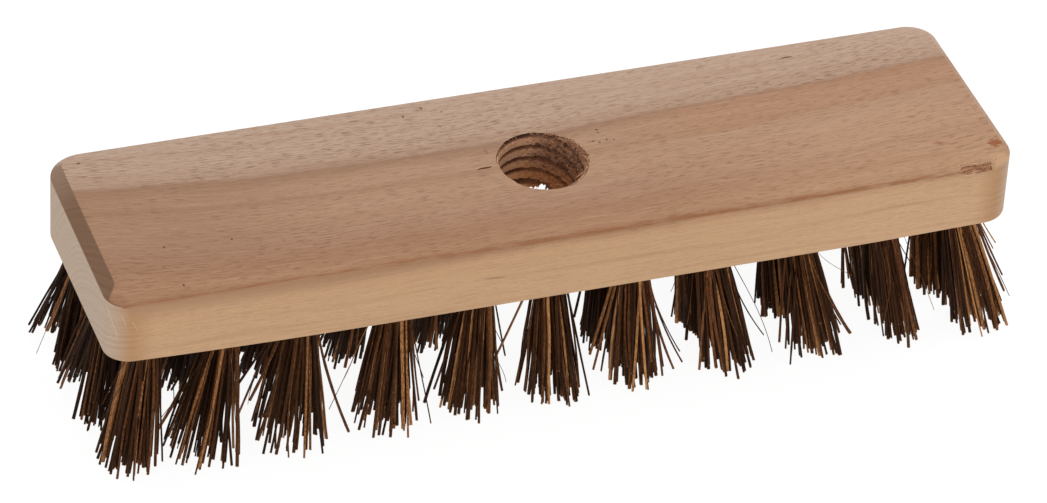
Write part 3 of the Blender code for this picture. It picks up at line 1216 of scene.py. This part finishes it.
def socket_tone(s, place, x, y, z):
    """1 inside the socket, and its colour: cut wood, redder low down and darker where it is torn, with
    painted shade in the grooves, the gaps and under the rim.
    """
    from_x, off_y, off_z = (axis - middle for axis, middle in zip((x, y, z), SOCKET_MIDDLE))
    from_y = off_y * math.cos(SOCKET_TILT) + off_z * math.sin(SOCKET_TILT)
    along = off_z * math.cos(SOCKET_TILT) - off_y * math.sin(SOCKET_TILT)
    radius = s.math("SQRT", from_x ** 2 + from_y ** 2)
    torn_way = from_x * math.cos(TORN_SIDE) + from_y * math.sin(TORN_SIDE)
    torn = s.noise(s.scaled(place, (1.2, 2.4, 2.4)), detail=4.0)
    gaps = s.noise(s.scaled(place, (0.5, 1.1, 0.7)), detail=3.0)
    cut_wood = s.mix(torn.step(0.35, 0.65), srgb(180, 132, 98), srgb(218, 174, 136))
    low = z.step(TOP_Z - 6.5, TOP_Z - 16.5, 0.0, 0.8)
    rough = torn_way.step(6.0, 10.0) * torn.step(0.3, 0.6, 1.0, 0.55)
    rough *= z.step(TOP_Z - 14.5, TOP_Z - 8.5, 0.3, 1.0)
    # Painted shadow on the wall just under the mouth's rim, fainter on the torn side.
    rim_shadow = radius.step(10.8, 11.1) * z.step(TOP_Z - 1.3, TOP_Z - 0.9) * torn_way.step(5.0, 9.0, 0.95, 0.4)
    # Painted shade in the gaps between the torn side's fibres.
    gap_shade = gaps.step(0.50, 0.62) * torn_way.step(6.5, 10.5, 0.0, 0.7) * z.step(TOP_Z - 14.5, TOP_Z - 10.5)
    layers = (
        (low, srgb(214, 144, 84)),
        (rough, srgb(132, 88, 62)),
        socket_groove_shade(s, from_x, from_y, along, torn_way),
        (rim_shadow, srgb(56, 27, 15)),
        (gap_shade, srgb(58, 30, 18)),
    )
    inside = radius.step(14.5, 12.5) * z.step(TOP_Z - 0.02, TOP_Z - 0.15)
    inside *= z.step(UNDERSIDE_Z + 0.05, UNDERSIDE_Z + 0.4)
    return inside, s.layered(cut_wood, layers)


def scratches(s, x, y, z):
    """1 on the pale scratches."""
    found = 0.0
    for low_x, low_z, high_x, high_z in SCRATCHES:
        lean = (high_x - low_x) / (high_z - low_z)
        apart = abs(x - low_x - (z - low_z) * lean)
        found = s.math("MAXIMUM", found, apart.step(0.16, 0.05) * z.within(low_z, high_z, 0.5))
    return found * y.step(FRONT_Y + 7.3, FRONT_Y + 5.3)


def front_fleck(x, y, z):
    """1 on the dark lens-shaped fleck of the front face."""
    level = z - (x - FLECK_CENTRE[0]) * FLECK_SLOPE
    fleck = ellipse(x, level, FLECK_CENTRE, FLECK_SIZE).step(1.2, 0.2)
    return fleck * y.step(FRONT_Y + 0.3, FRONT_Y + 0.1)


def torn_wood(s, x, y, z):
    """Layers of redder torn wood in the chip and in the slit."""
    grain = s.noise(s.vector(x * 0.5, y * 4.0, z), detail=2.0)
    torn = s.mix(grain.step(0.35, 0.65), srgb(118, 72, 48), srgb(182, 134, 98))
    slope = BEVEL_DROP / SIDE_BEVEL_RUN
    bevel_z = y * slope + (TOP_Z + slope * (WIDTH / 2 - SIDE_BEVEL_RUN))
    chipped = (bevel_z - z).step(0.05, 0.2) * z.step(WALL_TOP_Z - 1.6, WALL_TOP_Z - 1.4)
    chipped *= x.within(CHIP_X[0] - 0.3, CHIP_X[1] + 0.2) * y.within(FRONT_Y + 0.02, FRONT_Y + 2.1, 0.06)
    in_slit = x.within(SLIT_FROM[0] - 0.2, SLIT_TO[0] + 0.2) * z.step(TOP_Z - 0.03, TOP_Z - 0.15)
    in_slit *= y.within(SLIT_FROM[1] - 0.6, SLIT_TO[1] + 0.5)
    return (chipped, torn), (in_slit, srgb(122, 70, 44))


def edge_tones(s, x, y, z):
    """Layers: patchy brown on the front top edge, duller wood below its left, and a pale right corner."""
    patchy = s.noise(s.vector(x * 0.13, y * 1.2, 3.0), detail=3.0)
    edge = y.step(FRONT_Y + 1.4, FRONT_Y + 0.2) * z.step(WALL_TOP_Z - 0.8, WALL_TOP_Z - 0.3)
    edge *= patchy.step(0.38, 0.58, 0.15, 0.85) * x.step(100.0, 96.0)
    below = y.step(FRONT_Y + 0.4, FRONT_Y + 0.1) * z.step(WALL_TOP_Z - 5.5, WALL_TOP_Z - 1.0)
    below *= x.step(0.0, -80.0, 0.1, 0.8)
    corner = y.step(FRONT_Y + 4.8, FRONT_Y + 2.3) * z.step(WALL_TOP_Z - 1.5, WALL_TOP_Z, 0.0, 0.8)
    corner *= x.step(107.4, 109.0)
    return (edge, srgb(142, 88, 50)), (below, srgb(164, 126, 94)), (corner, srgb(190, 152, 116))


def stains(s, x, y, z):
    """Layers of reddish stains with flaky borders on the top."""
    flaky = s.noise(s.vector(x * 1.1, y * 3.0, z), detail=3.0)
    for at_x, at_y, long, wide, strength in STAINS:
        apart = ellipse(x, y, (at_x, at_y), (long, wide)) + (flaky - 0.5) * 4.0
        stained = apart.step(1.1, 0.3, 0.0, strength) * z.step(WALL_TOP_Z - 2.0, WALL_TOP_Z - 0.5)
        yield stained, srgb(142, 78, 38)


def beech_material():
    """The wood's colour in layers, from the growth rings up to the marks and the socket's inside, with
    painted shade on the left end bevel and in the socket.
    """
    s = Surface("beech")
    place, x, y, z = s.place()
    ring = ring_distance(s, x, y, z)
    flecks = ray_flecks(s, place, ring, x)
    specks = top_specks(s, x, y, z)
    fuzz = s.noise(s.scaled(place, (0.9, 6.0, 6.0)), detail=3.0)
    inside, socket_colour = socket_tone(s, place, x, y, z)
    layers = (
        *growth_lines(s, ring, x),
        (flecks * 0.66, srgb(112, 72, 50)),
        *end_grain_and_bevel_shade(s, ring, place, x, y),
        (specks * 0.85, srgb(62, 40, 30)),
        *torn_wood(s, x, y, z),
        *edge_tones(s, x, y, z),
        *stains(s, x, y, z),
        (scratches(s, x, y, z) * 0.3, srgb(222, 198, 172)),
        (front_fleck(x, y, z) * 0.45, srgb(140, 92, 62)),
        (inside, socket_colour),
        (fuzz.step(0.3, 0.7, 0.12, 0.0), srgb(120, 84, 62)),
    )
    colour = s.layered(ring_colour(s, ring, x), layers)
    roughness = fuzz.step(0.3, 0.7, 0.74, 0.6)
    s.feed_all(s.shader, {"Base Color": colour, "Roughness": roughness, "Specular IOR Level": 0.3})
    s.bump(fuzz * 0.5 - (flecks + specks) + inside * s.noise(place, 1.4, 4.0), 0.35, 0.12)
    return s.material


def sliver_material():
    """Torn beech: pinkish on the socket's rim, paler round the chip, which lies far to the right."""
    s = Surface("beech_sliver")
    place, x, _, z = s.place()
    wood = s.mix(s.noise(place, 1.7, 2.0).step(0.35, 0.65), srgb(132, 86, 60), srgb(206, 160, 122))
    at_chip = s.mix(x.step(50.0, 60.0, 0.0, 0.6), wood, srgb(216, 178, 140))
    at_rim = s.mix(0.4, wood, srgb(206, 152, 120))
    colour = s.mix(z.step(TOP_Z - 7.5, TOP_Z - 1.5) * x.step(60.0, 50.0), at_chip, at_rim)
    s.feed_all(s.shader, {"Base Color": colour, "Roughness": 0.8, "Specular IOR Level": 0.1})
    return s.material


def fibre_material():
    """Brown fibre, its tone given by the mesh, streaked along its length and paler where it is cut."""
    s = Surface("fibre")
    place, _, _, _ = s.place()
    streak = s.noise(s.scaled(place, (5.0, 5.0, 0.1)), detail=2.0, roughness=0.6)
    grains = s.noise(s.scaled(place, (4.0, 4.0, 2.0)), detail=2.0)
    tone = s.attribute("tone") + (streak - 0.5) * 1.1 + grains.step(0.55, 0.68, 0.0, 0.1)
    stops = (
        (0.0, srgb(36, 20, 11)),
        (0.35, srgb(66, 38, 21)),
        (0.65, srgb(112, 69, 40)),
        (1.0, srgb(188, 134, 84)),
    )
    colour = s.mix(s.attribute("cut_end"), s.ramp(tone, stops), srgb(150, 108, 72))
    s.feed_all(s.shader, {"Base Color": colour, "Roughness": 0.6})
    s.feed_all(s.shader, {"Specular IOR Level": 0.1, "Specular Tint": (1.0, 0.7, 0.45, 1)})
    s.bump(streak, 0.4, 0.08)
    return s.material


def wire_material():
    """Drawn steel wire, with fine marks round it."""
    s = Surface("steel_wire")
    place, _, _, _ = s.place()
    marks = s.noise(s.scaled(place, (3.0, 3.0, 9.0)), detail=3.0)
    colour = s.mix(marks, (0.30, 0.30, 0.31, 1), (0.55, 0.55, 0.56, 1))
    roughness = marks.step(0.3, 0.7, 0.28, 0.42)
    s.feed_all(s.shader, {"Base Color": colour, "Metallic": 1.0, "Roughness": roughness})
    return s.material


# ---------- Studio ----------

FLOOR_REACH = 6000
# Where the lights aim, in metres
LIGHT_AIM = Vector((0, 0, 0.04))


def floor_material():
    s = Surface("studio_floor")
    white = (1, 1, 1, 1)
    s.feed_all(s.shader, {"Base Color": (0.1, 0.1, 0.1, 1), "Roughness": 0.9})
    s.feed_all(s.shader, {"Emission Color": white, "Emission Strength": 0.93})
    return s.material


def make_floor():
    """The level white floor that the tips stand on."""
    signs = (-1, -1), (1, -1), (1, 1), (-1, 1)
    corners = [(FLOOR_REACH * x, FLOOR_REACH * y, 0) for x, y in signs]
    floor = add_mesh("studio_floor", corners, [(0, 1, 2, 3)])
    floor.data.materials.append(floor_material())


def make_world():
    world = bpy.data.worlds.new("studio_world")
    world.use_nodes = True
    background = world.node_tree.nodes["Background"]
    background.inputs["Color"].default_value = (1, 1, 1, 1)
    background.inputs["Strength"].default_value = 0.78
    bpy.context.scene.world = world


def add_light(name, place, size, power):
    """A square light that faces LIGHT_AIM; its place and size are in metres."""
    data = bpy.data.lights.new(name, "AREA")
    data.shape = "SQUARE"
    data.size = size
    data.energy = power
    light = bpy.data.objects.new(name, data)
    light.location = place
    light.rotation_euler = (LIGHT_AIM - Vector(place)).to_track_quat("-Z", "Y").to_euler()
    bpy.context.scene.collection.objects.link(light)


def make_lights():
    add_light("key_light", place=(0.9, 0.4, 1.1), size=0.6, power=8)
    add_light("front_light", place=(-0.3, -1.4, 0.5), size=0.7, power=3.4)


def make_camera():
    level = math.cos(VIEW_ELEVATION)
    back_x, back_y = math.sin(VIEW_AZIMUTH) * level, -math.cos(VIEW_AZIMUTH) * level
    back = Vector((back_x, back_y, math.sin(VIEW_ELEVATION)))
    level_right = Vector((0, 0, 1)).cross(back).normalized()
    level_up = back.cross(level_right)
    right = level_right * math.cos(VIEW_ROLL) + level_up * math.sin(VIEW_ROLL)
    up = level_up * math.cos(VIEW_ROLL) - level_right * math.sin(VIEW_ROLL)
    place = VIEW_CENTRE + back * VIEW_DISTANCE
    aim = VIEW_CENTRE + right * VIEW_SHIFT_RIGHT + up * VIEW_SHIFT_UP
    backward = (place - aim).normalized()
    right = up.cross(backward).normalized()
    up = backward.cross(right)
    data = bpy.data.cameras.new("studio_camera")
    data.lens = VIEW_LENS
    data.sensor_width = 36
    camera = bpy.data.objects.new("studio_camera", data)
    turn = Matrix((right, up, backward)).transposed().to_4x4()
    camera.matrix_world = Matrix.Translation(place * MM) @ turn
    bpy.context.scene.collection.objects.link(camera)
    bpy.context.scene.camera = camera


def main():
    bpy.context.scene.view_settings.view_transform = "Standard"
    make_camera()
    make_world()
    make_lights()
    make_floor()
    make_block()
    make_slivers()
    fibre = fibre_material()
    wire = wire_material()
    for name, column, row in tuft_places():
        make_tuft(name, column, row, fibre)
        make_staple(name, column, row, wire)


main()
